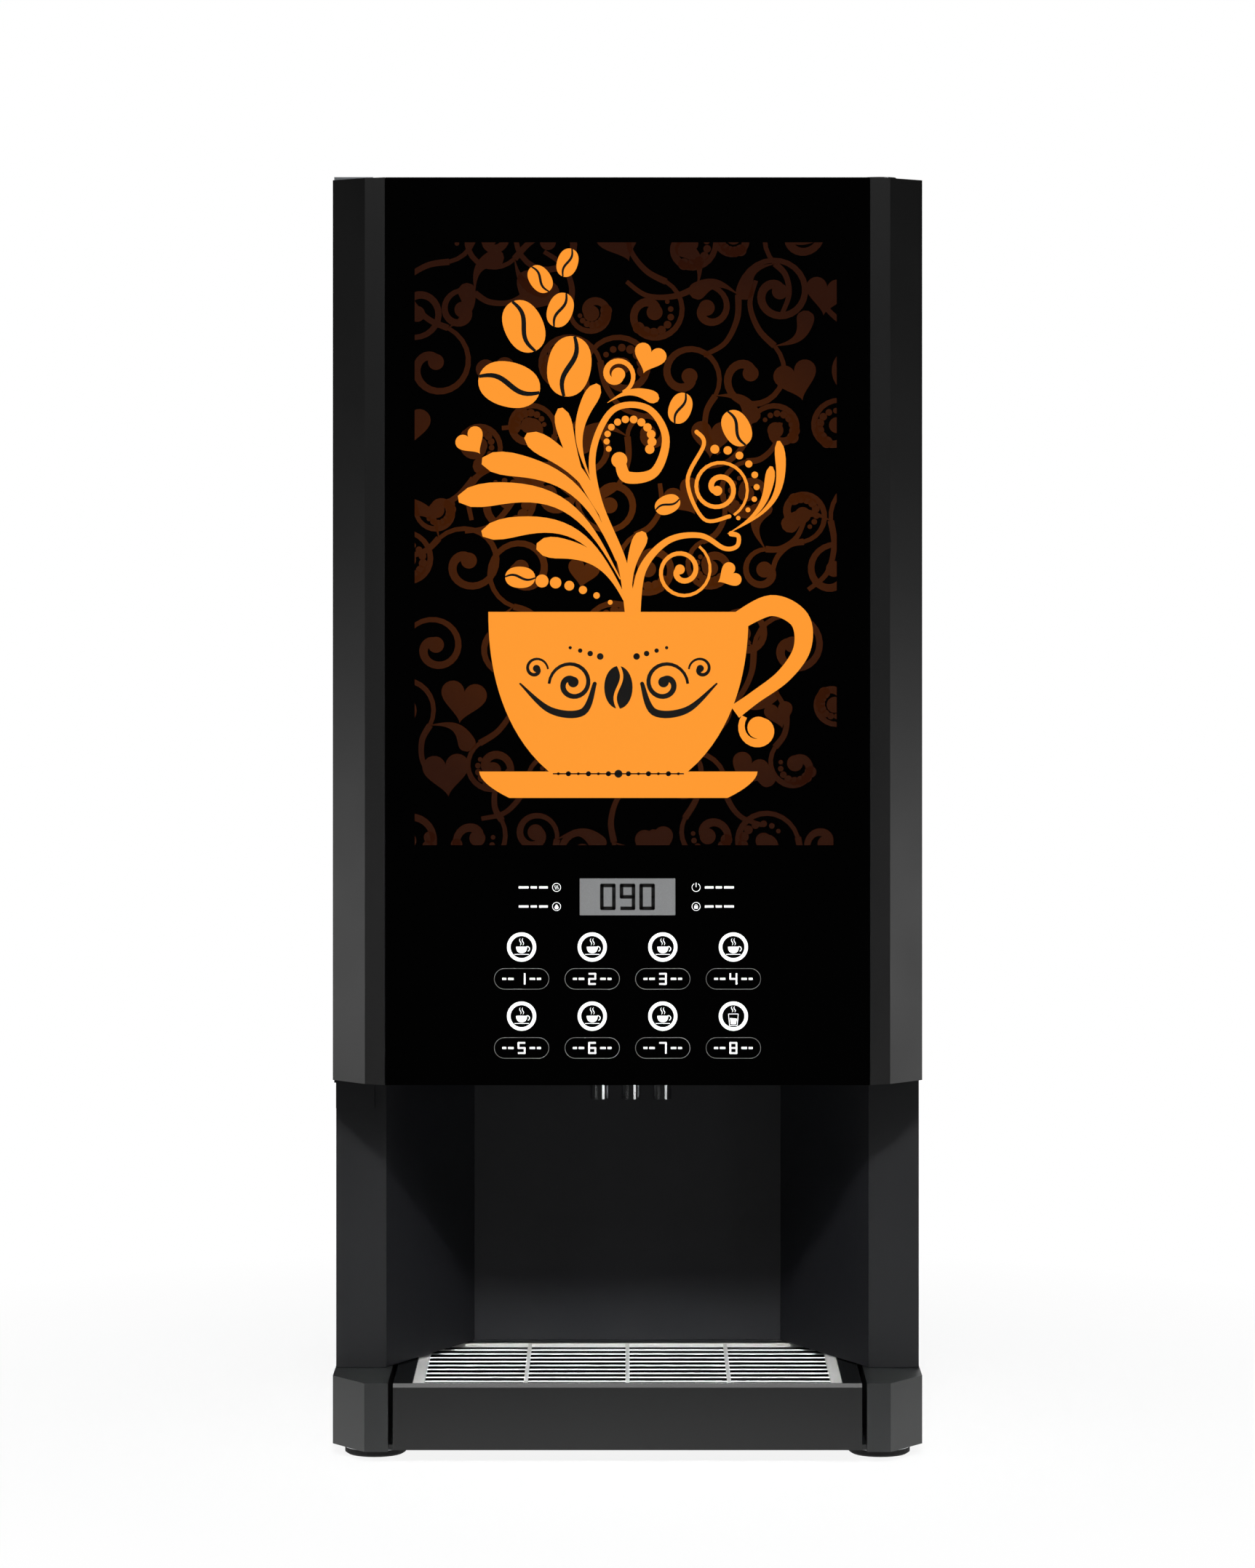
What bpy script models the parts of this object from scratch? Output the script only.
"""A counter-top hot coffee vending machine: cabinet, door, drip tray and the works inside.

Metres, +Z up. The front faces -Y. The origin is on the floor, under the middle of the machine.
"""

import math

import bmesh
import bpy
from mathutils import Matrix, Vector

# Overall sizes
BODY_WIDTH = 0.327
BODY_DEPTH = 0.440
BODY_HEIGHT = 0.707

# Fits and sheet thicknesses
GAP = 0.0003
SHEET = 0.0015
PLASTIC = 0.0025
OVERLAP = 0.001
CUT_PAST = 0.002
SMOOTH_LIMIT = math.radians(18.5)

# Base, feet and the plan of the front corners
BASE_BOTTOM = 0.006
BASE_TOP = 0.0437
BASE_FLOOR = 0.003
CORNER_WIDTH = 0.0188
CORNER_DEPTH = 0.026
POST_WIDTH = 0.013
FOOT_RADIUS = 0.017
FOOT_INSET = 0.0235
FOOT_FRONT = 0.0325
FOOT_REAR = 0.040

# Cabinet
SIDE_STEP = 0.0005
OVERHANG = 0.050
PILLAR_WIDTH = 0.028
FLANGE_WIDTH = 0.016
FITTING_PROUD = 0.002

# Niche
DOOR_BOTTOM = 0.2077
NICHE_DEPTH = 0.0945
NICHE_TAPER = 0.0466
LINER_WALL = 0.002

# Tray and grille
TRAY_SIDE_GAP = 0.0027
TRAY_REAR_GAP = 0.0015
TRAY_RIM = 0.0108
TRAY_LIP = 0.002
TRAY_FRONT_WALL = 0.005
GRILLE_THICKNESS = 0.002
GRILLE_END = 0.006
GRILLE_BAR = 0.0018
GRILLE_DIVIDERS = 3
GRILLE_WIRES = 9

# Door
DOOR_GAP = 0.0015
FACET_WIDTH = 0.0114
FACET_DEPTH = 0.006
PANEL_THICKNESS = 0.003
HINGE_INSET = 0.008
HINGE_FORWARD = 0.011
HINGE_CHAMFER = 0.003
PIN_RADIUS = 0.003
PIN_LENGTH = 0.010
HINGE_PLATE = 0.0018
HINGE_PLATE_AHEAD = 0.0065
HINGE_PLATE_REACH = 0.014
HINGE_PLATE_BACK = 0.024
HINGE_LEG = 0.018
PIN_SIDES = 20

# Picture window and light box
PICTURE_TOP_MARGIN = 0.0358
PICTURE_BOTTOM = 0.3397
PICTURE_SIDE_MARGIN = 0.016
LIGHT_BOX_DEPTH = 0.024
LIGHT_BOX_WALL = 0.002
LIGHT_BOX_BORDER = 0.006
WINDOW_ROOM = 0.002
OPEN_BACK = 0.010

# Controls: sizes up from the floor and across from the middle
KEY_RADIUS = 0.008
KEY_PITCH_X = 0.0388
KEY_ROWS = (0.2837, 0.2457)
KEY_COLUMNS = 4
KEY_CLEARANCE = 0.0003
KEY_PROUD = 0.0004
KEY_TRAVEL = 0.001
KEY_FLANGE = 0.0015
KEY_FLANGE_THICKNESS = 0.0017
KEY_STEM_RADIUS = 0.003
KEY_STEM = 0.0035
KEY_BEVEL = 0.0006
KEY_SIDES = 20
DISPLAY_WIDTH = 0.0523
DISPLAY_HEIGHT = 0.020
DISPLAY_LEVEL = 0.3113
DISPLAY_RIM = 0.002
DISPLAY_DEPTH = 0.0085
CONTROL_HALF = 0.070
CONTROL_BOTTOM = 0.2175
CONTROL_TOP = 0.3300
BOARD_THICKNESS = 0.0016
SWITCH_HEIGHT = 0.003
SWITCH_HALF = 0.003
SWITCH_ROOM = 0.0005
POST_HALF = 0.0025
BOARD_BORDER = 0.003

# Lock
LOCK_INSET = 0.0235
LOCK_RADIUS = 0.0075
LOCK_HEAD = 0.0095
LOCK_LENGTH = 0.016
CAM_REACH = 0.024
CAM_HALF = 0.004
CAM_HOOK = 0.016
CAM_HOOK_WIDTH = 0.007
CAM_TAIL = 0.007
CAM_THICKNESS = 0.002
CAM_ROOM = 0.036
CAM_DROP = 0.030
LOCK_PROUD = 0.002
KEYWAY_HALF = 0.0006
KEYWAY_REACH = 0.0035
KEYWAY_DEPTH = 0.004

# Inner cover of the door
COVER_THICKNESS = 0.002
COVER_ROOM = 0.001
COVER_HINGE_ROOM = 0.016

# Nozzles
NOZZLE_RADIUS = 0.00525
NOZZLE_BORE = 0.004
NOZZLE_PITCH = 0.0176
NOZZLE_SHIFT = 0.002
NOZZLE_SETBACK = 0.075
NOZZLE_DROP = 0.0159
NOZZLE_RISE = 0.018
COLLAR_RIM = 0.0025
COLLAR_HEIGHT = 0.002

# Dispensers
SHELF_LEVEL = 0.400
LANES = 3
SIDE_ROOM = 0.004
CANISTER_GAP = 0.006
CANISTER_SETBACK = 0.050
CANISTER_WALL = 0.002
CANISTER_SHOULDER = 0.045
SHELF_LIP = 0.002
MOTOR_WALL_RISE = 0.050
LEDGE_REACH = 0.020
TROUGH_RADIUS = 0.0175
LID_HEADROOM = 0.0635
LID_LENGTH = 0.058
LID_THICKNESS = 0.0025
SPOUT_REACH = 0.032
SPOUT_STEP = 0.0002
SPOUT_SIDES = 20
CHUTE_HALF = 0.011
CHUTE_ROOM = 0.009
CHUTE_DEPTH = 0.012
MOUTH_SIDE = 0.010
MOUTH_END = 0.006
LID_INSET = 0.004
LID_LIP = 0.004
AUGER_RADIUS = 0.016
AUGER_CORE = 0.008
AUGER_PITCH = 0.022
AUGER_BLADE = 0.002
AUGER_STEPS = 8
SHAFT_RADIUS = 0.0035
SHAFT_ROOM = 0.001
HOLE_SIDES = 16
HUB_ROOM = 0.001
HUB_LENGTH = 0.005
HUB_RIM = 0.004
MOTOR_LENGTH = 0.044
MOTOR_HALF = 0.020
GEARBOX_DROP = 0.014
GEARBOX_RISE = 0.026
GEARBOX_DEPTH = 0.020
CAN_RADIUS = 0.014
BOWL_RADIUS = 0.032
BOWL_WALL = 0.002
BOWL_DROP = 0.012
BOWL_NECK = 0.021
OUTLET_RADIUS = 0.0065
OUTLET_ROOM = 0.0007
IMPELLER_RADIUS = 0.014
IMPELLER_BLADES = 6
IMPELLER_DEPTH = 0.007
WHIPPER_RADIUS = 0.018
WHIPPER_LENGTH = 0.042
WHIPPER_BEVEL = 0.004

# Water, air and power
BOILER_EDGE = 0.004
BOILER_SHOULDER = 0.012
BOILER_DOME_WIDE = 0.8
BOILER_DOME_DROP = 0.003
BOILER_DOME_NARROW = 0.35
BOILER_PLUG = 0.010
PUMP_RADIUS = 0.022
PUMP_LENGTH = 0.090
PUMP_BODY = 0.076
PUMP_NECK = 0.012
PUMP_EDGE = 0.004
PUMP_LEVEL = 0.034
PUMP_SIDE = 0.080
PUMP_FROM_REAR = 0.060
SADDLE_HALF = 0.015
SADDLE_START = 0.020
SADDLE_REACH = 0.066
SADDLE_DROP = 0.010
SUPPLY_LEFT = 0.020
SUPPLY_WIDTH = 0.100
SUPPLY_LENGTH = 0.110
SUPPLY_HEIGHT = 0.045
SUPPLY_FROM_REAR = 0.040
BOILER_RADIUS = 0.048
BOILER_HEIGHT = 0.190
BOILER_SIDE = 0.075
BOILER_REAR_ROOM = 0.010
FAN_HALF = 0.040
FAN_DEPTH = 0.025
FAN_BLADES = 7
FAN_RIM = 0.003
FAN_BAR_HALF = 0.0015
FAN_BAR_DEPTH = 0.002
FAN_HUB = 0.013
FAN_HUB_ROOM = 0.0035
FAN_BLADE = 0.011
FAN_TIP_ROOM = 0.005
FAN_PITCH = math.radians(50)
FAN_SIDE = 0.075
FAN_DOWN = 0.075
INLET_SIDE = 0.105
INLET_LEVEL = 0.105
INLET_HALF = 0.013
INLET_RISE = 0.023
INLET_ROOM = 0.0005
INLET_FLANGE = 0.003
INLET_DEPTH = 0.022
SOCKET_LOW = 0.020
SOCKET_HEIGHT = 0.016
SOCKET_DEPTH = 0.016
POCKET_LOW = 0.002
POCKET_HEIGHT = 0.018
POCKET_DEPTH = 0.012
FAN_SLOTS = 7
LOW_SLOTS = 5
LOW_SLOT_LEVEL = 0.080
LOW_SLOT_HALF = 0.035
SLOT_PITCH = 0.010
SLOT_HALF = 0.0022
ROCKER_SETBACK = 0.005
ROCKER_FACE = 0.0045
ROCKER_WAIST = 0.0032
ROCKER_REACH = 0.007
ROCKER_BACK = 0.004
ROCKER_FOOT = 0.0045
ROCKER_ROOM = 0.0008
ROCKER_TILT = math.radians(8)

# Places worked out from the sizes above
HALF = BODY_WIDTH / 2
FRONT = -BODY_DEPTH / 2
REAR_FACE = BODY_DEPTH / 2 - FITTING_PROUD
CABINET_HALF = HALF - SIDE_STEP
INNER_HALF = CABINET_HALF - SHEET
CABINET_FRONT = FRONT + OVERHANG
DOOR_REAR = CABINET_FRONT - DOOR_GAP
BAY_HALF = HALF - CORNER_WIDTH - POST_WIDTH
BAY_REAR = CABINET_FRONT + NICHE_DEPTH - 0.0005
NICHE_BACK = CABINET_FRONT + NICHE_DEPTH
TRAY_HALF = BAY_HALF - TRAY_SIDE_GAP
TRAY_REAR = BAY_REAR - TRAY_REAR_GAP
TRAY_TOP = BASE_TOP - GAP
TRAY_BOTTOM = BASE_BOTTOM + BASE_FLOOR + 0.0005
GRILLE_HALF = TRAY_HALF - TRAY_RIM
GRILLE_FRONT = FRONT + TRAY_LIP + 0.001
GRILLE_REAR = TRAY_REAR - 0.004
GRILLE_TOP = TRAY_TOP - 0.0002
PANEL_HALF = HALF - CORNER_WIDTH - FACET_WIDTH
PANEL_SEAT = PANEL_THICKNESS + GAP
SEAT_BACK = FRONT + PANEL_SEAT + PLASTIC
PICTURE_HALF = PANEL_HALF - PICTURE_SIDE_MARGIN
PICTURE_TOP = BODY_HEIGHT - PICTURE_TOP_MARGIN
HINGE_X = -HALF + HINGE_INSET
HINGE_Y = DOOR_REAR - HINGE_FORWARD
LOCK_X = HALF - LOCK_INSET
LOCK_Y = HINGE_Y - 0.001
DECK_TOP = DOOR_BOTTOM + LINER_WALL
SHELF_TOP = SHELF_LEVEL + SHEET
LANE_PITCH = 2 * (INNER_HALF - SIDE_ROOM) / LANES
LANE_XS = tuple(LANE_PITCH * (lane - (LANES - 1) / 2) for lane in range(LANES))
SIDE_NAMES = ("left", "centre", "right")
NOZZLE_XS = tuple(NOZZLE_SHIFT + NOZZLE_PITCH * (lane - (LANES - 1) / 2) for lane in range(LANES))
NOZZLE_Y = FRONT + NOZZLE_SETBACK
CANISTER_HALF = (LANE_PITCH - CANISTER_GAP) / 2
CANISTER_FRONT = CABINET_FRONT + CANISTER_SETBACK
BOILER_Y = REAR_FACE - SHEET - BOILER_REAR_ROOM - BOILER_RADIUS
MOTOR_WALL_Y = BOILER_Y - BOILER_RADIUS - 0.010 - MOTOR_LENGTH - SHEET
CANISTER_REAR = MOTOR_WALL_Y - 0.004
CANISTER_TOP = BODY_HEIGHT - SHEET - LID_HEADROOM
AUGER_LEVEL = SHELF_TOP + GAP + TROUGH_RADIUS + CANISTER_WALL
BOWL_TOP = SHELF_LEVEL - BOWL_DROP
BOWL_Y = CANISTER_FRONT - 0.0145
WHIP_LEVEL = BOWL_TOP - 0.069
LEDGE_TOP = BOWL_TOP - 0.1045
MIXER_WALL_Y = BOWL_Y + BOWL_RADIUS + 0.006


# Shapes

def box(low, high):
    shape = bmesh.new()
    size = Vector(high) - Vector(low)
    middle = (Vector(high) + Vector(low)) / 2
    bmesh.ops.create_cube(shape, size=1, matrix=Matrix.Translation(middle) @ Matrix.Diagonal((*size, 1)))
    return shape


def turned_to(axis):
    """The turn that takes +Z to the named axis."""
    turns = {
        "X": Matrix.Rotation(math.pi / 2, 4, "Y"),
        "Y": Matrix.Rotation(-math.pi / 2, 4, "X"),
        "Z": Matrix.Identity(4),
    }
    return turns[axis]


def prism(outline, start, end, axis="Z"):
    """An outline pushed along an axis. The outline is XY for Z, XZ for Y and YZ for X."""
    shape = bmesh.new()
    spread = {
        "Z": lambda a, b, along: (a, b, along),
        "Y": lambda a, b, along: (a, along, b),
        "X": lambda a, b, along: (along, a, b),
    }[axis]
    corners = [shape.verts.new(spread(a, b, start)) for a, b in outline]
    face = shape.faces.new(corners)
    grown = bmesh.ops.extrude_face_region(shape, geom=[face])
    moved = [item for item in grown["geom"] if isinstance(item, bmesh.types.BMVert)]
    bmesh.ops.translate(shape, verts=moved, vec=spread(0, 0, end - start))
    return shape


def turned(profile, centre, axis="Z", segments=24):
    """A profile of (radius, height) points turned about an axis through the centre."""
    shape = bmesh.new()
    points = [shape.verts.new((radius, 0, height)) for radius, height in profile]
    edges = [shape.edges.new(pair) for pair in zip(points, points[1:])]
    if profile[0][0] > 0 and profile[-1][0] > 0:
        edges.append(shape.edges.new((points[-1], points[0])))
    bmesh.ops.spin(
        shape, geom=points + edges, cent=(0, 0, 0), axis=(0, 0, 1),
        angle=2 * math.pi, steps=segments, use_merge=True,
    )
    bmesh.ops.remove_doubles(shape, verts=shape.verts, dist=0.000001)
    shape.transform(Matrix.Translation(centre) @ turned_to(axis))
    return shape


def rod(radius, start, end, across, axis="Z", segments=24):
    """A round bar from start to end along an axis. across holds the other two places, in order."""
    centre = {"X": (0, *across), "Y": (across[0], 0, across[1]), "Z": (*across, 0)}[axis]
    profile = [(0, start), (radius, start), (radius, end), (0, end)]
    return turned(profile, centre, axis, segments)


def group(*shapes):
    """Shapes that don't touch each other, held in one mesh."""
    whole = bmesh.new()
    for shape in shapes:
        mesh = bpy.data.meshes.new("group")
        shape.to_mesh(mesh)
        shape.free()
        whole.from_mesh(mesh)
        bpy.data.meshes.remove(mesh)
    return whole


def inset(outline, distance):
    """The outline moved inwards by a distance. Its points run anticlockwise."""
    result = []
    count = len(outline)
    for index in range(count):
        before = Vector(outline[index - 1])
        here = Vector(outline[index])
        after = Vector(outline[(index + 1) % count])
        first = (here - before).normalized()
        second = (after - here).normalized()
        first_in = Vector((-first.y, first.x))
        second_in = Vector((-second.y, second.x))
        middle = (first_in + second_in).normalized()
        result.append(tuple(here + middle * (distance / middle.dot(first_in))))
    return result


def clear_scene():
    for item in list(bpy.data.objects):
        bpy.data.objects.remove(item, do_unlink=True)


def finish(name, colour, roughness, metallic=0.0):
    """A plain material in linear colour."""
    material = bpy.data.materials.new(name)
    material.use_nodes = True
    shader = material.node_tree.nodes["Principled BSDF"]
    shader.inputs["Base Color"].default_value = (*colour, 1)
    shader.inputs["Roughness"].default_value = roughness
    shader.inputs["Metallic"].default_value = metallic
    return material


def place(shape, name):
    bmesh.ops.recalc_face_normals(shape, faces=shape.faces)
    mesh = bpy.data.meshes.new(name)
    shape.to_mesh(mesh)
    shape.free()
    item = bpy.data.objects.new(name, mesh)
    bpy.context.scene.collection.objects.link(item)
    return item


def pivot(name, location):
    """An empty on a joint's axis, which the pieces that move with it hang from."""
    empty = bpy.data.objects.new(name + "_pivot", None)
    empty.location = location
    bpy.context.scene.collection.objects.link(empty)
    return empty


def part(name, shape, look, add=(), cut=(), ribs=(), moves_with=None):
    """One piece: a first shape, shapes joined to it, shapes cut from it, and ribs joined last."""
    item = place(shape, name)
    colour, roughness, metallic = look
    item.data.materials.append(finish(name, colour, roughness, metallic))
    steps = [("UNION", tool) for tool in add] + [("DIFFERENCE", tool) for tool in cut]
    steps += [("UNION", tool) for tool in ribs]
    for number, (operation, tool) in enumerate(steps):
        guide = place(tool, f"{name}_guide_{number}")
        guide.hide_render = True
        guide.display_type = "WIRE"
        step = item.modifiers.new(f"step_{number}", "BOOLEAN")
        step.operation = operation
        step.object = guide
        step.solver = "EXACT"
    item.data.shade_smooth()
    item.data.set_sharp_from_angle(angle=SMOOTH_LIMIT)
    if moves_with is not None:
        item.data.transform(Matrix.Translation(-moves_with.location))
        item.parent = moves_with
    return item


# Looks: linear colour, roughness, metallic
BLACK_STEEL = ((0.010, 0.010, 0.011), 0.45, 0.0)
BLACK_PLASTIC = ((0.012, 0.012, 0.012), 0.40, 0.0)
GREY_PLASTIC = ((0.035, 0.035, 0.036), 0.38, 0.0)
GLOSS_BLACK = ((0.001, 0.001, 0.001), 0.08, 0.0)
BARE_STEEL = ((0.55, 0.56, 0.57), 0.28, 1.0)
ZINC_STEEL = ((0.45, 0.46, 0.48), 0.40, 1.0)
WHITE_PLASTIC = ((0.75, 0.75, 0.73), 0.45, 0.0)
CLEAR_PLASTIC = ((0.60, 0.62, 0.62), 0.25, 0.0)
DISPLAY_GREY = ((0.22, 0.23, 0.23), 0.30, 0.0)
BOARD_GREEN = ((0.02, 0.13, 0.05), 0.50, 0.0)
DARK_RUBBER = ((0.015, 0.015, 0.015), 0.80, 0.0)


# Base and cabinet

def corner_outline(rear):
    """The plan of the base, anticlockwise from its front left corner."""
    inner = HALF - CORNER_WIDTH
    back = FRONT + CORNER_DEPTH
    return [(-inner, FRONT), (inner, FRONT), (HALF, back), (HALF, rear), (-HALF, rear), (-HALF, back)]


def make_base():
    floor_top = BASE_BOTTOM + BASE_FLOOR
    bay = box((-BAY_HALF, FRONT - OVERLAP, floor_top), (BAY_HALF, BAY_REAR, BASE_TOP + OVERLAP))
    toe = box(
        (-BAY_HALF, FRONT - OVERLAP, BASE_BOTTOM - OVERLAP),
        (BAY_HALF, FRONT + TRAY_FRONT_WALL + OVERLAP, floor_top + OVERLAP),
    )
    well_half = HALF - 0.012
    well = box(
        (-well_half, BAY_REAR + 0.006, floor_top),
        (well_half, REAR_FACE - 0.006, BASE_TOP + OVERLAP),
    )
    part("base_frame", prism(corner_outline(REAR_FACE), BASE_BOTTOM, BASE_TOP), BLACK_PLASTIC,
         cut=[bay, toe, well])


def make_feet():
    top = BASE_BOTTOM - GAP
    profile = [(0, 0), (FOOT_RADIUS - 0.0015, 0), (FOOT_RADIUS, 0.001), (FOOT_RADIUS, 0.0035),
               (FOOT_RADIUS - 0.001, top), (0, top)]
    places = {
        "foot_front_left": (-1, FRONT + FOOT_FRONT),
        "foot_front_right": (1, FRONT + FOOT_FRONT),
        "foot_rear_left": (-1, REAR_FACE - FOOT_REAR),
        "foot_rear_right": (1, REAR_FACE - FOOT_REAR),
    }
    for name, (side, depth) in places.items():
        part(name, turned(profile, (side * (HALF - FOOT_INSET), depth, 0), segments=28), DARK_RUBBER)


def make_cabinet():
    """One folded wrap: two sides, roof, front flanges that widen into pillars, and rear flanges."""
    bottom = BASE_TOP + GAP
    outline = [(-CABINET_HALF, bottom), (-INNER_HALF, bottom), (-INNER_HALF, BODY_HEIGHT - SHEET),
               (INNER_HALF, BODY_HEIGHT - SHEET), (INNER_HALF, bottom), (CABINET_HALF, bottom),
               (CABINET_HALF, BODY_HEIGHT), (-CABINET_HALF, BODY_HEIGHT)]
    wrap = prism(outline, CABINET_FRONT, REAR_FACE, "Y")
    flanges = []
    rear_end = REAR_FACE - SHEET - GAP
    middle = CABINET_HALF - SHEET / 2
    for side in (-1, 1):
        xs = sorted((side * middle, side * (CABINET_HALF - PILLAR_WIDTH)))
        flanges.append(box((xs[0], CABINET_FRONT, bottom),
                           (xs[1], CABINET_FRONT + SHEET, DOOR_BOTTOM - GAP)))
        xs = sorted((side * middle, side * (CABINET_HALF - FLANGE_WIDTH)))
        flanges.append(box((xs[0], CABINET_FRONT, DOOR_BOTTOM - OVERLAP),
                           (xs[1], CABINET_FRONT + SHEET, BODY_HEIGHT - SHEET / 2)))
        flanges.append(box((xs[0], rear_end - SHEET, bottom), (xs[1], rear_end, BODY_HEIGHT - SHEET / 2)))
    brow = box((-middle, CABINET_FRONT, BODY_HEIGHT - 0.010),
               (middle, CABINET_FRONT + SHEET, BODY_HEIGHT - SHEET / 2))
    part("cabinet_shell", wrap, BLACK_STEEL, add=[*flanges, brow])


def fan_place():
    return (FAN_SIDE, BODY_HEIGHT - FAN_DOWN)


def make_rear_panel():
    """The rear sheet: air slots over the fan, more slots low down, and the opening for the inlet."""
    panel = box((-INNER_HALF + GAP, REAR_FACE - SHEET, BASE_TOP + GAP),
                (INNER_HALF - GAP, REAR_FACE, BODY_HEIGHT - SHEET - GAP))
    front = REAR_FACE - SHEET - CUT_PAST
    rear = REAR_FACE + CUT_PAST
    fan_x, fan_z = fan_place()
    fan_reach = FAN_HALF - FAN_RIM - OVERLAP
    slots = []
    for row in range(FAN_SLOTS):
        rise = SLOT_PITCH * (row - (FAN_SLOTS - 1) / 2)
        half = math.sqrt(fan_reach ** 2 - rise ** 2)
        level = fan_z + rise
        slots.append(box((fan_x - half, front, level - SLOT_HALF), (fan_x + half, rear, level + SLOT_HALF)))
    for row in range(LOW_SLOTS):
        level = LOW_SLOT_LEVEL + SLOT_PITCH * row
        slots.append(box((-BOILER_SIDE - LOW_SLOT_HALF, front, level - SLOT_HALF),
                         (-BOILER_SIDE + LOW_SLOT_HALF, rear, level + SLOT_HALF)))
    half = INLET_HALF + INLET_ROOM
    rise = INLET_RISE + INLET_ROOM
    hole = box((INLET_SIDE - half, front, INLET_LEVEL - rise), (INLET_SIDE + half, rear, INLET_LEVEL + rise))
    part("rear_panel", panel, ZINC_STEEL, cut=[group(*slots, hole)])


def make_liner():
    """The cup niche: slanted sides, back and a ceiling that runs on as the deck of the cabinet."""
    front = CABINET_FRONT + SHEET + GAP
    front_half = CABINET_HALF - PILLAR_WIDTH
    back_half = front_half - NICHE_TAPER
    wall = LINER_WALL
    spread = wall * math.hypot(NICHE_TAPER, NICHE_BACK - front) / (NICHE_BACK - front)
    outline = [(-front_half - spread, front), (-front_half, front), (-back_half, NICHE_BACK),
               (back_half, NICHE_BACK), (front_half, front), (front_half + spread, front),
               (back_half + spread * 0.6, NICHE_BACK + wall), (-back_half - spread * 0.6, NICHE_BACK + wall)]
    walls = prism(outline, BASE_TOP + GAP, DOOR_BOTTOM + wall / 2)
    deck = box((-INNER_HALF + GAP, front, DOOR_BOTTOM), (INNER_HALF - GAP, REAR_FACE - 0.006, DECK_TOP))
    holes = [rod(NOZZLE_RADIUS + 0.0004, DOOR_BOTTOM - 0.002, DECK_TOP + 0.002, (x, NOZZLE_Y), segments=20)
             for x in NOZZLE_XS]
    part("niche_liner", walls, BLACK_STEEL, add=[deck], cut=[group(*holes)])


def make_hinges():
    """Two plates fixed to the cabinet, each with its pin riveted in, above and below the door."""
    upper_low = BODY_HEIGHT + GAP
    front = HINGE_Y - HINGE_PLATE_AHEAD
    side = HINGE_X + HINGE_PLATE_REACH
    upper = box((-CABINET_HALF, front, upper_low),
                (side, CABINET_FRONT + HINGE_PLATE_BACK, upper_low + HINGE_PLATE))
    axis = (HINGE_X, HINGE_Y)
    upper_pin = rod(PIN_RADIUS, upper_low - PIN_LENGTH, upper_low + HINGE_PLATE / 2, axis, segments=PIN_SIDES)
    part("hinge_bracket_upper", upper, ZINC_STEEL, add=[upper_pin])
    lower_top = DOOR_BOTTOM - GAP
    lower = box((-CABINET_HALF, front, lower_top - HINGE_PLATE), (side, CABINET_FRONT - GAP, lower_top))
    leg = box((-CABINET_HALF, CABINET_FRONT - GAP - HINGE_PLATE, lower_top - HINGE_LEG),
              (side, CABINET_FRONT - GAP, lower_top - HINGE_PLATE / 2))
    lower_pin = rod(PIN_RADIUS, lower_top - HINGE_PLATE / 2, lower_top + PIN_LENGTH, axis, segments=PIN_SIDES)
    part("hinge_bracket_lower", lower, BLACK_STEEL, add=[leg, lower_pin])


# Tray

def make_tray():
    tray = pivot("tray", (0, FRONT, BASE_BOTTOM))
    outline = [(FRONT, BASE_BOTTOM + 0.001), (FRONT + TRAY_FRONT_WALL, BASE_BOTTOM + 0.001),
               (FRONT + TRAY_FRONT_WALL, TRAY_BOTTOM), (TRAY_REAR, TRAY_BOTTOM), (TRAY_REAR, TRAY_TOP),
               (FRONT + TRAY_LIP, TRAY_TOP), (FRONT, TRAY_TOP - TRAY_LIP)]
    body = prism(outline, -TRAY_HALF, TRAY_HALF, "X")
    seat_level = GRILLE_TOP - GRILLE_THICKNESS - GAP
    seat = box((-GRILLE_HALF - GAP, GRILLE_FRONT - GAP, seat_level),
               (GRILLE_HALF + GAP, GRILLE_REAR + GAP, TRAY_TOP + OVERLAP))
    basin = box((-GRILLE_HALF + GRILLE_END, FRONT + TRAY_FRONT_WALL + 0.004, TRAY_BOTTOM + PLASTIC),
                (GRILLE_HALF - GRILLE_END, GRILLE_REAR - 0.005, seat_level + OVERLAP))
    part("drip_tray", body, BLACK_PLASTIC, cut=[seat, basin], moves_with=tray)
    make_grille(tray)


def make_grille(tray):
    """Bars from end plate to end plate, let half-way into the dividers they are welded to."""
    low = GRILLE_TOP - GRILLE_THICKNESS
    inner_half = GRILLE_HALF - GRILLE_END
    bars = GRILLE_WIRES + 2
    bar_pitch = (GRILLE_REAR - GRILLE_FRONT - GRILLE_BAR) / (bars - 1)
    divider_pitch = 2 * inner_half / (GRILLE_DIVIDERS + 1)
    wires = []
    for number in range(bars):
        y = GRILLE_FRONT + number * bar_pitch
        wires.append(box((-inner_half - OVERLAP, y, low + GRILLE_BAR / 4),
                         (inner_half + OVERLAP, y + GRILLE_BAR, GRILLE_TOP)))
    dividers = []
    for number in range(GRILLE_DIVIDERS):
        x = -inner_half + (number + 1) * divider_pitch
        dividers.append(box((x - GRILLE_BAR / 2, GRILLE_FRONT + GRILLE_BAR / 2, low),
                            (x + GRILLE_BAR / 2, GRILLE_REAR - GRILLE_BAR / 2, GRILLE_TOP - GRILLE_BAR / 4)))
    ends = []
    for side in (-1, 1):
        xs = sorted((side * inner_half, side * GRILLE_HALF))
        ends.append(box((xs[0], GRILLE_FRONT, low), (xs[1], GRILLE_REAR, GRILLE_TOP)))
    part("drip_grille", group(*wires), BARE_STEEL, add=[group(*dividers), group(*ends)], moves_with=tray)


# Door

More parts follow.
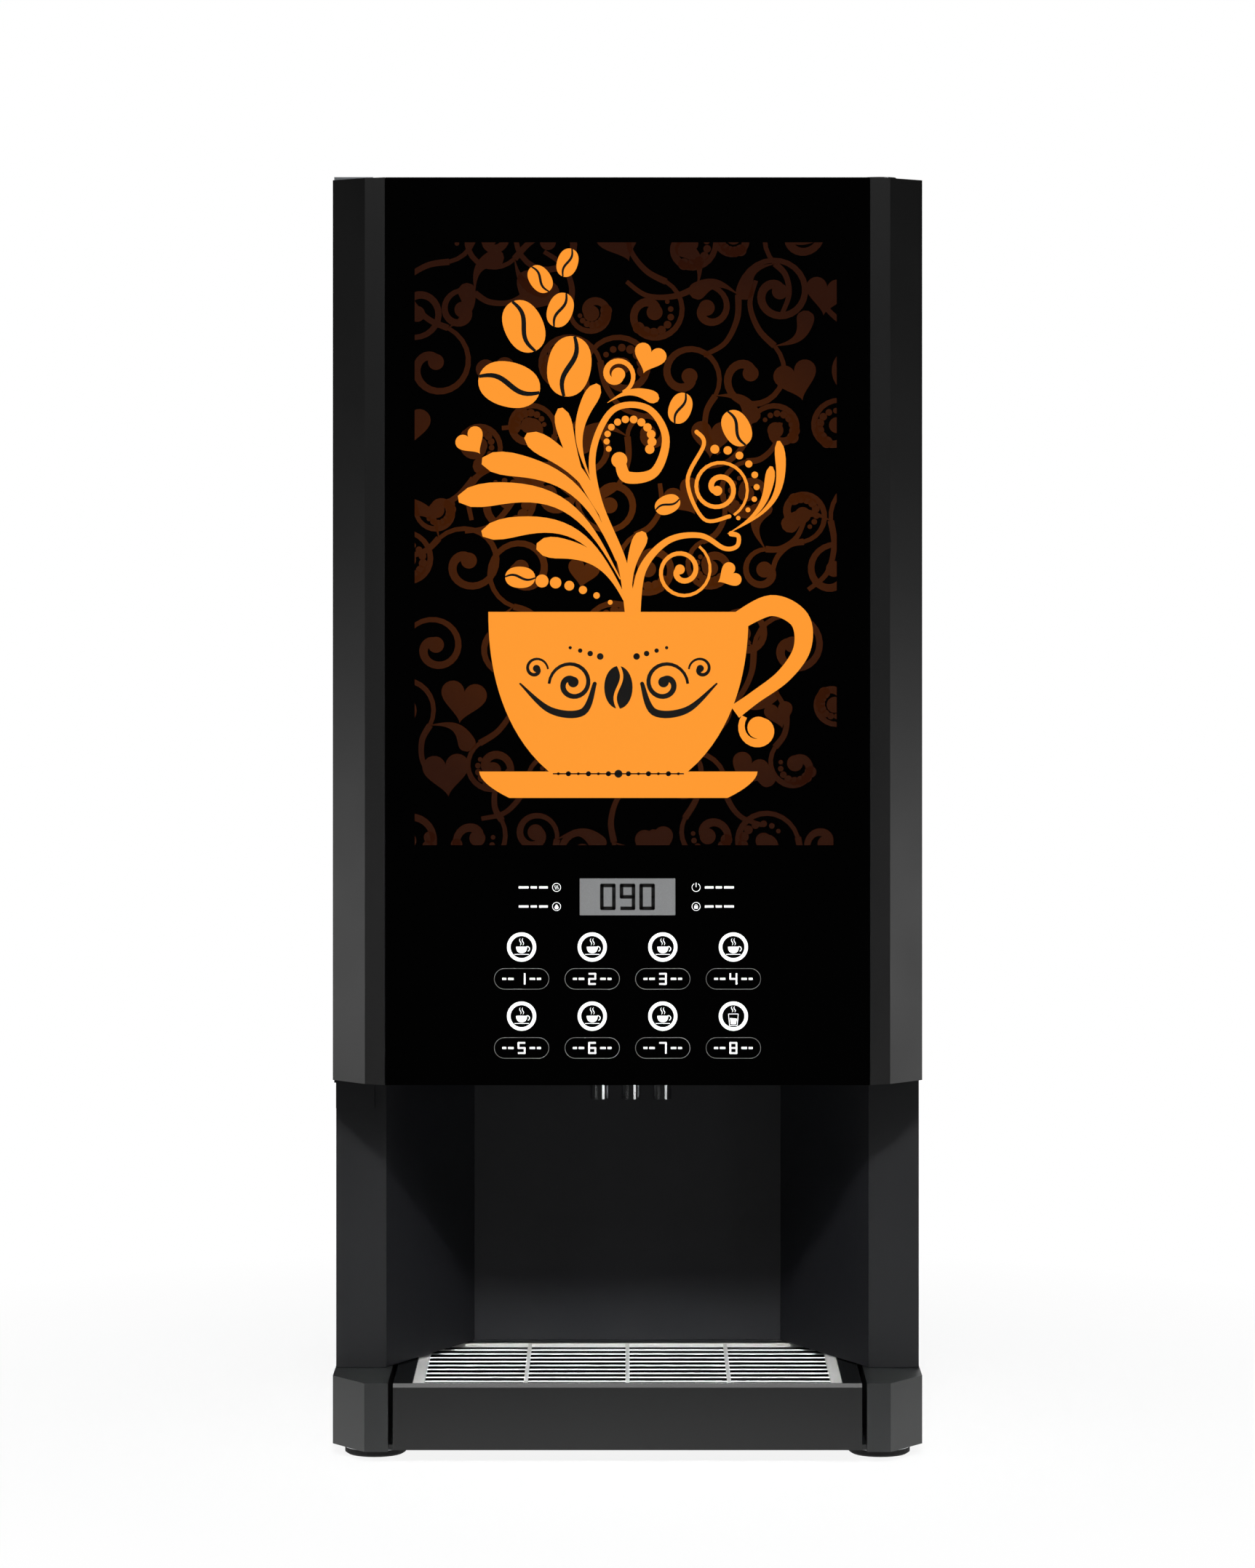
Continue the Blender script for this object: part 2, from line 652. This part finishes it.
def door_outline(seat, rear):
    """The plan of the door, anticlockwise, with its front brought back by seat."""
    front_half = PANEL_HALF + FACET_WIDTH * seat / FACET_DEPTH
    elbow = HALF - CORNER_WIDTH
    return [(-front_half, FRONT + seat), (front_half, FRONT + seat), (elbow, FRONT + FACET_DEPTH),
            (HALF, FRONT + CORNER_DEPTH), (HALF, rear), (-HALF + HINGE_CHAMFER, rear),
            (-HALF, rear - HINGE_CHAMFER), (-HALF, FRONT + CORNER_DEPTH), (-elbow, FRONT + FACET_DEPTH)]


def make_door_shell(door):
    seat = box((-PANEL_HALF - GAP / 2, FRONT - OVERLAP, DOOR_BOTTOM - OVERLAP),
               (PANEL_HALF + GAP / 2, FRONT + PANEL_SEAT, BODY_HEIGHT + OVERLAP))
    hollow = prism(inset(door_outline(PANEL_SEAT, DOOR_REAR + OPEN_BACK), PLASTIC),
                   DOOR_BOTTOM + PLASTIC, BODY_HEIGHT - PLASTIC)
    picture = box((-PICTURE_HALF - WINDOW_ROOM, FRONT, PICTURE_BOTTOM - WINDOW_ROOM),
                  (PICTURE_HALF + WINDOW_ROOM, SEAT_BACK + OVERLAP, PICTURE_TOP + WINDOW_ROOM))
    controls = box((-CONTROL_HALF, FRONT, CONTROL_BOTTOM), (CONTROL_HALF, SEAT_BACK + OVERLAP, CONTROL_TOP))
    floor = (DOOR_BOTTOM - CUT_PAST, DOOR_BOTTOM + PLASTIC + CUT_PAST)
    ceiling = (BODY_HEIGHT - PLASTIC - CUT_PAST, BODY_HEIGHT + CUT_PAST)
    pin_holes = [rod(PIN_RADIUS + GAP, *span, (HINGE_X, HINGE_Y), segments=PIN_SIDES)
                 for span in (floor, ceiling)]
    lock_hole = rod(LOCK_RADIUS + GAP, *ceiling, (LOCK_X, LOCK_Y))
    part("door_shell", prism(door_outline(0, DOOR_REAR), DOOR_BOTTOM, BODY_HEIGHT), GREY_PLASTIC,
         cut=[seat, hollow, picture, controls, group(*pin_holes, lock_hole)], moves_with=door)


def key_places():
    columns = [KEY_PITCH_X * (column - (KEY_COLUMNS - 1) / 2) for column in range(KEY_COLUMNS)]
    return [(x, level) for level in KEY_ROWS for x in columns]


def make_front_panel(door):
    half = PANEL_HALF - GAP / 2
    panel = box((-half, FRONT, DOOR_BOTTOM), (half, FRONT + PANEL_THICKNESS, BODY_HEIGHT))
    through = (FRONT - OVERLAP, FRONT + PANEL_THICKNESS + OVERLAP)
    holes = [rod(KEY_RADIUS + KEY_CLEARANCE, *through, centre, "Y", KEY_SIDES) for centre in key_places()]
    part("front_panel", panel, GLOSS_BLACK, cut=[group(*holes)], moves_with=door)


def make_keys():
    """Round keys that press in by their travel, each held behind the panel by a flange."""
    back = PANEL_SEAT
    flange = back + KEY_FLANGE_THICKNESS
    profile = [(0, -KEY_PROUD), (KEY_RADIUS - KEY_BEVEL, -KEY_PROUD), (KEY_RADIUS, KEY_BEVEL / 3),
               (KEY_RADIUS, back),
               (KEY_RADIUS + KEY_FLANGE, back), (KEY_RADIUS + KEY_FLANGE, flange), (KEY_STEM_RADIUS, flange),
               (KEY_STEM_RADIUS, flange + KEY_STEM), (0, flange + KEY_STEM)]
    for number, (x, level) in enumerate(key_places(), start=1):
        key = pivot(f"drink_key_{number}", (x, FRONT, level))
        cap = turned(profile, (x, FRONT, level), "Y", KEY_SIDES)
        part(f"drink_key_{number}", cap, GLOSS_BLACK, moves_with=key)


def make_door_inside(door):
    rim = DISPLAY_RIM
    display = box((-DISPLAY_WIDTH / 2 - rim, FRONT + PANEL_SEAT, DISPLAY_LEVEL - DISPLAY_HEIGHT / 2 - rim),
                  (DISPLAY_WIDTH / 2 + rim, FRONT + DISPLAY_DEPTH, DISPLAY_LEVEL + DISPLAY_HEIGHT / 2 + rim))
    part("display_module", display, DISPLAY_GREY, moves_with=door)
    make_control_board(door)
    make_light_box(door)
    make_inner_cover(door)


def make_control_board(door):
    """The board behind the keys, with a switch under each key and a post in each corner."""
    keys_back = FRONT + PANEL_SEAT + KEY_FLANGE_THICKNESS + KEY_STEM + KEY_TRAVEL
    front = keys_back + SWITCH_ROOM + SWITCH_HEIGHT
    rear = front + BOARD_THICKNESS
    board = box((-CONTROL_HALF - BOARD_BORDER, front, CONTROL_BOTTOM - BOARD_BORDER),
                (CONTROL_HALF + BOARD_BORDER, rear, CONTROL_TOP + BOARD_BORDER))
    middle = (front + rear) / 2
    bits = []
    for x, level in key_places():
        bits.append(box((x - SWITCH_HALF, front - SWITCH_HEIGHT, level - SWITCH_HALF),
                        (x + SWITCH_HALF, middle, level + SWITCH_HALF)))
    for x in (-CONTROL_HALF, CONTROL_HALF):
        for level in (CONTROL_BOTTOM, CONTROL_TOP):
            bits.append(box((x - POST_HALF, SEAT_BACK + GAP, level - POST_HALF),
                            (x + POST_HALF, middle, level + POST_HALF)))
    part("control_board", board, BOARD_GREEN, add=[group(*bits)], moves_with=door)


def make_light_box(door):
    half = PICTURE_HALF + LIGHT_BOX_BORDER
    low = PICTURE_BOTTOM - LIGHT_BOX_BORDER * 2 / 3
    high = PICTURE_TOP + LIGHT_BOX_BORDER
    front = SEAT_BACK + GAP
    rear = front + LIGHT_BOX_DEPTH
    wall = LIGHT_BOX_WALL
    hollow = box((-half + wall, front - OVERLAP, low + wall), (half - wall, rear - wall, high - wall))
    part("light_box", box((-half, front, low), (half, rear, high)), WHITE_PLASTIC, cut=[hollow],
         moves_with=door)


def make_inner_cover(door):
    top = BODY_HEIGHT - PLASTIC - COVER_ROOM
    rear = DOOR_REAR - COVER_ROOM
    cover = box((-HALF + COVER_HINGE_ROOM, rear - COVER_THICKNESS, DOOR_BOTTOM + PLASTIC + COVER_ROOM),
                (HALF - PLASTIC - COVER_ROOM, rear, top))
    notch = box((LOCK_X - CAM_ROOM, rear - 2 * COVER_THICKNESS, BODY_HEIGHT - CAM_DROP),
                (HALF, rear + COVER_THICKNESS, top + OVERLAP))
    part("door_inner_cover", cover, WHITE_PLASTIC, cut=[notch], moves_with=door)


def make_lock():
    """A barrel turned from above, and a hooked cam under it. Open at rest."""
    centre = (LOCK_X, LOCK_Y, BODY_HEIGHT)
    lock = pivot("lock", centre)
    profile = [(0, LOCK_PROUD), (LOCK_HEAD, LOCK_PROUD), (LOCK_HEAD, GAP), (LOCK_RADIUS, GAP),
               (LOCK_RADIUS, -LOCK_LENGTH), (0, -LOCK_LENGTH)]
    keyway = box((LOCK_X - KEYWAY_HALF, LOCK_Y - KEYWAY_REACH, BODY_HEIGHT - KEYWAY_DEPTH),
                 (LOCK_X + KEYWAY_HALF, LOCK_Y + KEYWAY_REACH, BODY_HEIGHT + KEYWAY_DEPTH))
    part("lock_barrel", turned(profile, centre), BARE_STEEL, cut=[keyway], moves_with=lock)
    hook = CAM_REACH - CAM_HOOK_WIDTH
    arm = [(-CAM_TAIL, -CAM_HALF), (CAM_REACH, -CAM_HALF), (CAM_REACH, CAM_HOOK), (hook, CAM_HOOK),
           (hook, CAM_HALF), (-CAM_TAIL, CAM_HALF)]
    outline = [(LOCK_X - along, LOCK_Y + across) for along, across in arm]
    top = BODY_HEIGHT - LOCK_LENGTH - GAP
    part("lock_cam", prism(outline, top - CAM_THICKNESS, top), ZINC_STEEL, moves_with=lock)


# Dispensers

def make_dispenser_frame():
    """One folded sheet: shelf, motor wall behind it, mixer wall below it and a ledge for the bowls."""
    half = INNER_HALF - GAP
    motor_rear = MOTOR_WALL_Y + SHEET
    mixer_rear = MIXER_WALL_Y + SHEET
    fold = SHEET / 2
    ledge_low = LEDGE_TOP - SHEET
    shelf = box((-half, CANISTER_FRONT - SHELF_LIP, SHELF_LEVEL), (half, motor_rear, SHELF_TOP))
    motor_wall = box((-half, MOTOR_WALL_Y, SHELF_LEVEL + fold),
                     (half, motor_rear, AUGER_LEVEL + MOTOR_WALL_RISE))
    mixer_wall = box((-half, MIXER_WALL_Y, ledge_low), (half, mixer_rear, SHELF_LEVEL + fold))
    ledge = box((-half, BOWL_Y - LEDGE_REACH, ledge_low), (half, MIXER_WALL_Y + fold, LEDGE_TOP))
    shaft = SHAFT_RADIUS + SHAFT_ROOM
    holes = []
    for x in LANE_XS:
        holes.append(rod(shaft, MOTOR_WALL_Y - CUT_PAST, motor_rear + CUT_PAST, (x, AUGER_LEVEL), "Y",
                         HOLE_SIDES))
        holes.append(rod(shaft, MIXER_WALL_Y - CUT_PAST, mixer_rear + CUT_PAST, (x, WHIP_LEVEL), "Y",
                         HOLE_SIDES))
        holes.append(rod(OUTLET_RADIUS + OUTLET_ROOM, ledge_low - CUT_PAST, LEDGE_TOP + CUT_PAST,
                         (x, BOWL_Y), "Z",
                         HOLE_SIDES))
    part("dispenser_frame", shelf, ZINC_STEEL, add=[motor_wall, mixer_wall, ledge], cut=[group(*holes)])


def canister_outline(x):
    """The canister seen from the front: straight sides, shoulders, and a round trough below."""
    outer = TROUGH_RADIUS + CANISTER_WALL
    arc = []
    steps = 6
    for step in range(steps + 1):
        angle = math.radians(210 + 120 * step / steps)
        arc.append((x + outer * math.cos(angle), AUGER_LEVEL + outer * math.sin(angle)))
    shoulder = AUGER_LEVEL + CANISTER_SHOULDER
    return [(x - CANISTER_HALF, CANISTER_TOP), (x - CANISTER_HALF, shoulder), *arc,
            (x + CANISTER_HALF, shoulder), (x + CANISTER_HALF, CANISTER_TOP)]


def make_canister(x, side):
    """A tall box over a round trough, with a spout ahead and a mouth under the lid."""
    outline = canister_outline(x)
    wall = CANISTER_WALL
    centre = (x, AUGER_LEVEL)
    body = prism(outline, CANISTER_FRONT, CANISTER_REAR, "Y")
    spout_end = CANISTER_FRONT - SPOUT_REACH
    spout = rod(TROUGH_RADIUS + wall - SPOUT_STEP, spout_end, CANISTER_FRONT + wall / 2, centre, "Y",
                SPOUT_SIDES)
    hollow = prism(inset(outline, wall), CANISTER_FRONT + wall, CANISTER_REAR - wall, "Y")
    bore = rod(TROUGH_RADIUS - SPOUT_STEP, spout_end + wall, CANISTER_FRONT + 3 * wall, centre, "Y",
               SPOUT_SIDES)
    chute = box((x - CHUTE_HALF, spout_end + 2 * wall, AUGER_LEVEL - 2 * AUGER_RADIUS),
                (x + CHUTE_HALF, CANISTER_FRONT - CHUTE_ROOM, AUGER_LEVEL - CHUTE_DEPTH))
    mouth = box((x - CANISTER_HALF + MOUTH_SIDE, CANISTER_FRONT + MOUTH_END, CANISTER_TOP - MOUTH_END),
                (x + CANISTER_HALF - MOUTH_SIDE, CANISTER_FRONT + LID_LENGTH - MOUTH_END,
                 CANISTER_TOP + OVERLAP))
    shaft_hole = rod(SHAFT_RADIUS + SHAFT_ROOM, CANISTER_REAR - wall - CUT_PAST, CANISTER_REAR + CUT_PAST,
                     centre, "Y",
                     HOLE_SIDES)
    part(f"canister_{side}", body, CLEAR_PLASTIC, add=[spout], cut=[hollow, bore, chute, mouth, shaft_hole])


def make_lid(x, side):
    rear = CANISTER_FRONT + LID_LENGTH
    low = CANISTER_TOP + GAP
    lid = pivot(f"canister_lid_{side}", (x, rear, low))
    half = CANISTER_HALF - LID_INSET
    plate = box((x - half, CANISTER_FRONT - LID_LIP, low), (x + half, rear, low + LID_THICKNESS))
    part(f"canister_lid_{side}", plate, BLACK_PLASTIC, moves_with=lid)


def auger_blade(x, start, end):
    """A flat blade wound into a helix about the auger's axis."""
    shape = bmesh.new()
    steps = round((end - start) / AUGER_PITCH * AUGER_STEPS)
    rings = []
    for step in range(steps + 1):
        angle = 2 * math.pi * step / AUGER_STEPS
        along = start + (end - start) * step / steps
        ring = []
        edge = ((AUGER_CORE, 0), (AUGER_RADIUS, 0), (AUGER_RADIUS, AUGER_BLADE), (AUGER_CORE, AUGER_BLADE))
        for radius, shift in edge:
            across = x + radius * math.cos(angle)
            ring.append(shape.verts.new((across, along + shift, AUGER_LEVEL + radius * math.sin(angle))))
        rings.append(ring)
    for before, after in zip(rings, rings[1:]):
        for corner in range(4):
            beside = (corner + 1) % 4
            shape.faces.new((before[corner], before[beside], after[beside], after[corner]))
    shape.faces.new(rings[0])
    shape.faces.new(rings[-1])
    return shape


def make_auger(x, side):
    hub_rear = CANISTER_REAR - CANISTER_WALL - HUB_ROOM
    hub_front = hub_rear - HUB_LENGTH
    centre = (x, AUGER_LEVEL)
    spin = pivot(f"auger_{side}", (x, hub_rear, AUGER_LEVEL))
    hub = rod(AUGER_CORE + HUB_RIM, hub_front, hub_rear, centre, "Y", 16)
    shaft = rod(SHAFT_RADIUS, hub_rear - OVERLAP, MOTOR_WALL_Y + SHEET, centre, "Y", 12)
    blade = auger_blade(x, CANISTER_FRONT - SPOUT_REACH + 2 * CANISTER_WALL, hub_front + OVERLAP)
    part(f"auger_{side}", blade, WHITE_PLASTIC, add=[hub, shaft], moves_with=spin)


def make_auger_motor(x, side):
    """A gearbox behind the motor wall, and the motor's can behind it."""
    front = MOTOR_WALL_Y + SHEET + GAP
    gearbox = box((x - MOTOR_HALF, front, AUGER_LEVEL - GEARBOX_DROP),
                  (x + MOTOR_HALF, front + GEARBOX_DEPTH, AUGER_LEVEL + GEARBOX_RISE))
    level = AUGER_LEVEL + (GEARBOX_RISE - GEARBOX_DROP) / 2
    can = rod(CAN_RADIUS, front + GEARBOX_DEPTH - OVERLAP, front + MOTOR_LENGTH - CUT_PAST, (x, level),
              "Y", 20)
    part(f"auger_motor_{side}", gearbox, ZINC_STEEL, add=[can])


def make_bowl(x, side):
    """A funnel, a whipping chamber and an outlet, turned in one. Heights run down from the rim."""
    wall = BOWL_WALL
    rim, mouth, neck, outlet = BOWL_RADIUS, 0.022, BOWL_NECK, OUTLET_RADIUS
    funnel_end, chamber_end, step, end = 0.050, 0.088, 0.104, 0.120
    outer = [(rim, 0), (rim, -mouth), (neck, -funnel_end), (neck, -chamber_end), (outlet, -step),
             (outlet, -end)]
    inner = [(outlet - wall, -end), (outlet - wall, -step + OVERLAP), (neck - wall, -chamber_end + OVERLAP),
             (neck - wall, -funnel_end - OVERLAP / 2), (rim - wall, -mouth - 1.5 * OVERLAP), (rim - wall, 0)]
    body = turned(outer + inner, (x, BOWL_Y, BOWL_TOP), "Z", 20)
    shaft_hole = rod(SHAFT_RADIUS + SHAFT_ROOM, BOWL_Y + neck / 2, BOWL_Y + BOWL_RADIUS, (x, WHIP_LEVEL),
                     "Y", 12)
    part(f"mixing_bowl_{side}", body, CLEAR_PLASTIC, cut=[shaft_hole])


def make_impeller(x, side):
    spin = pivot(f"impeller_{side}", (x, BOWL_Y, WHIP_LEVEL))
    star = []
    for tip in range(IMPELLER_BLADES * 2):
        radius = IMPELLER_RADIUS if tip % 2 == 0 else IMPELLER_RADIUS * 0.5
        angle = math.pi * tip / IMPELLER_BLADES
        star.append((x + radius * math.cos(angle), WHIP_LEVEL + radius * math.sin(angle)))
    half = IMPELLER_DEPTH / 2
    blades = prism(star, BOWL_Y - half, BOWL_Y + half, "Y")
    shaft = rod(SHAFT_RADIUS, BOWL_Y + half - OVERLAP, MIXER_WALL_Y + SHEET, (x, WHIP_LEVEL), "Y", 12)
    part(f"impeller_{side}", blades, WHITE_PLASTIC, add=[shaft], moves_with=spin)


def make_whipper_motor(x, side):
    front = MIXER_WALL_Y + SHEET + GAP
    radius = WHIPPER_RADIUS
    length = WHIPPER_LENGTH
    profile = [(0, 0), (radius, 0), (radius, length - 1.5 * WHIPPER_BEVEL), (radius - WHIPPER_BEVEL, length),
               (0, length)]
    part(f"whipper_motor_{side}", turned(profile, (x, front, WHIP_LEVEL), "Y", 20), ZINC_STEEL)


def make_nozzle(x, side):
    """A steel tube hung in the deck by its collar."""
    low = DOOR_BOTTOM - NOZZLE_DROP
    top = DECK_TOP + NOZZLE_RISE
    collar_low = DECK_TOP + GAP
    collar_top = collar_low + COLLAR_HEIGHT
    collar = NOZZLE_RADIUS + COLLAR_RIM
    profile = [(NOZZLE_RADIUS, low), (NOZZLE_RADIUS, collar_low), (collar, collar_low), (collar, collar_top),
               (NOZZLE_RADIUS, collar_top), (NOZZLE_RADIUS, top), (NOZZLE_BORE, top), (NOZZLE_BORE, low)]
    part(f"nozzle_{side}", turned(profile, (x, NOZZLE_Y, 0), "Z", 24), BARE_STEEL)


def make_lane(lane):
    """One powder's line, from canister to nozzle."""
    x = LANE_XS[lane]
    side = SIDE_NAMES[lane]
    make_canister(x, side)
    make_lid(x, side)
    make_auger(x, side)
    make_auger_motor(x, side)
    make_bowl(x, side)
    make_impeller(x, side)
    make_whipper_motor(x, side)
    make_nozzle(NOZZLE_XS[lane], side)


# Water, air and power

def make_boiler():
    radius = BOILER_RADIUS
    height = BOILER_HEIGHT
    profile = [(0, 0), (radius - BOILER_EDGE, 0), (radius, BOILER_EDGE), (radius, height - BOILER_SHOULDER),
               (radius * BOILER_DOME_WIDE, height - BOILER_DOME_DROP), (radius * BOILER_DOME_NARROW, height),
               (BOILER_PLUG, height), (BOILER_PLUG, height + BOILER_PLUG), (0, height + BOILER_PLUG)]
    part("boiler", turned(profile, (-BOILER_SIDE, BOILER_Y, DECK_TOP + GAP), "Z", 28), BARE_STEEL)


def make_pump():
    """Pump with its neck to the front, lying on a saddle on the base's floor."""
    floor = BASE_BOTTOM + BASE_FLOOR + GAP
    level = floor + PUMP_LEVEL
    rear = REAR_FACE - PUMP_FROM_REAR
    profile = [(0, -PUMP_LENGTH), (PUMP_NECK, -PUMP_LENGTH), (PUMP_NECK, -PUMP_BODY),
               (PUMP_RADIUS, -PUMP_BODY + PUMP_EDGE),
               (PUMP_RADIUS, -2 * PUMP_EDGE), (PUMP_RADIUS - PUMP_EDGE, 0), (0, 0)]
    saddle = box((-PUMP_SIDE - SADDLE_HALF, rear - SADDLE_REACH, floor),
                 (-PUMP_SIDE + SADDLE_HALF, rear - SADDLE_START, level - SADDLE_DROP))
    part("water_pump", turned(profile, (-PUMP_SIDE, rear, level), "Y", 20), BLACK_PLASTIC, add=[saddle])


def make_power_supply():
    floor = BASE_BOTTOM + BASE_FLOOR + GAP
    rear = REAR_FACE - SUPPLY_FROM_REAR
    case = box((SUPPLY_LEFT, rear - SUPPLY_LENGTH, floor), (SUPPLY_LEFT + SUPPLY_WIDTH, rear,
                                                            floor + SUPPLY_HEIGHT))
    part("power_supply", case, ZINC_STEEL)


def make_inlet():
    """Mains socket with a rocker switch above it, in one moulding set into the rear panel."""
    x = INLET_SIDE
    flange = box((x - INLET_HALF - INLET_FLANGE, REAR_FACE + GAP, INLET_LEVEL - INLET_RISE - INLET_FLANGE),
                 (x + INLET_HALF + INLET_FLANGE, REAR_FACE + FITTING_PROUD,
                  INLET_LEVEL + INLET_RISE + INLET_FLANGE))
    body = box((x - INLET_HALF, REAR_FACE - INLET_DEPTH, INLET_LEVEL - INLET_RISE),
               (x + INLET_HALF, REAR_FACE + OVERLAP, INLET_LEVEL + INLET_RISE))
    half = INLET_HALF - INLET_FLANGE
    past = REAR_FACE + 2 * FITTING_PROUD
    socket = box((x - half, REAR_FACE - SOCKET_DEPTH, INLET_LEVEL - SOCKET_LOW),
                 (x + half, past, INLET_LEVEL - SOCKET_LOW + SOCKET_HEIGHT))
    pocket = box((x - half, REAR_FACE - POCKET_DEPTH, INLET_LEVEL + POCKET_LOW),
                 (x + half, past, INLET_LEVEL + POCKET_LOW + POCKET_HEIGHT))
    part("power_inlet", flange, BLACK_PLASTIC, add=[body], cut=[socket, pocket])
    level = INLET_LEVEL + POCKET_LOW + POCKET_HEIGHT / 2
    axis_y = REAR_FACE - ROCKER_SETBACK
    rocker = pivot("power_switch", (x, axis_y, level))
    face, waist, reach = ROCKER_FACE, ROCKER_WAIST, ROCKER_REACH
    outline = [(face, -reach), (waist, 0), (face, reach), (-ROCKER_BACK, ROCKER_FOOT),
               (-ROCKER_BACK, -ROCKER_FOOT)]
    tilted = []
    for forward, up in outline:
        y = axis_y + forward * math.cos(ROCKER_TILT) - up * math.sin(ROCKER_TILT)
        z = level + forward * math.sin(ROCKER_TILT) + up * math.cos(ROCKER_TILT)
        tilted.append((y, z))
    half -= ROCKER_ROOM
    part("power_switch", prism(tilted, x - half, x + half, "X"), GLOSS_BLACK, moves_with=rocker)


def make_fan():
    """A square housing with crossed bars ahead of the rotor, and the rotor's hub and pitched blades."""
    x, level = fan_place()
    rear = REAR_FACE - SHEET - GAP
    front = rear - FAN_DEPTH
    housing = box((x - FAN_HALF, front, level - FAN_HALF), (x + FAN_HALF, rear, level + FAN_HALF))
    duct = rod(FAN_HALF - FAN_RIM, front - OVERLAP, rear + OVERLAP, (x, level), "Y", 28)
    bars = []
    reach = FAN_HALF - FAN_RIM + OVERLAP
    for turn in (0, 1):
        bar = box((-reach, front, -FAN_BAR_HALF), (reach, front + FAN_BAR_DEPTH, FAN_BAR_HALF))
        bar.transform(Matrix.Translation((x, 0, level)) @ Matrix.Rotation(turn * math.pi / 2, 4, "Y"))
        bars.append(bar)
    boss = rod(FAN_HUB + OVERLAP, front, front + 1.25 * FAN_BAR_DEPTH, (x, level), "Y", 20)
    part("fan_frame", housing, BLACK_PLASTIC, cut=[duct], ribs=[*bars, boss])
    middle = front + FAN_DEPTH / 2
    spin = pivot("fan_rotor", (x, middle, level))
    hub = rod(FAN_HUB, front + FAN_HUB_ROOM, rear - FAN_HUB_ROOM, (x, level), "Y", 20)
    half = FAN_BLADE / 2
    blades = []
    for number in range(FAN_BLADES):
        blade = box((FAN_HUB - OVERLAP / 2, -OVERLAP / 2, -half),
                    (FAN_HALF - FAN_TIP_ROOM, OVERLAP / 2, half))
        pitch = Matrix.Rotation(FAN_PITCH, 4, "X")
        turn = Matrix.Rotation(2 * math.pi * number / FAN_BLADES, 4, "Y")
        blade.transform(Matrix.Translation((x, middle, level)) @ turn @ pitch)
        blades.append(blade)
    part("fan_rotor", hub, BLACK_PLASTIC, add=[group(*blades)], moves_with=spin)


def make_door():
    door = pivot("door", (HINGE_X, HINGE_Y, DOOR_BOTTOM))
    make_door_shell(door)
    make_front_panel(door)
    make_door_inside(door)


def main():
    clear_scene()
    make_base()
    make_feet()
    make_cabinet()
    make_rear_panel()
    make_liner()
    make_hinges()
    make_tray()
    make_door()
    make_keys()
    make_lock()
    make_dispenser_frame()
    for lane in range(LANES):
        make_lane(lane)
    make_boiler()
    make_pump()
    make_power_supply()
    make_inlet()
    make_fan()


main()
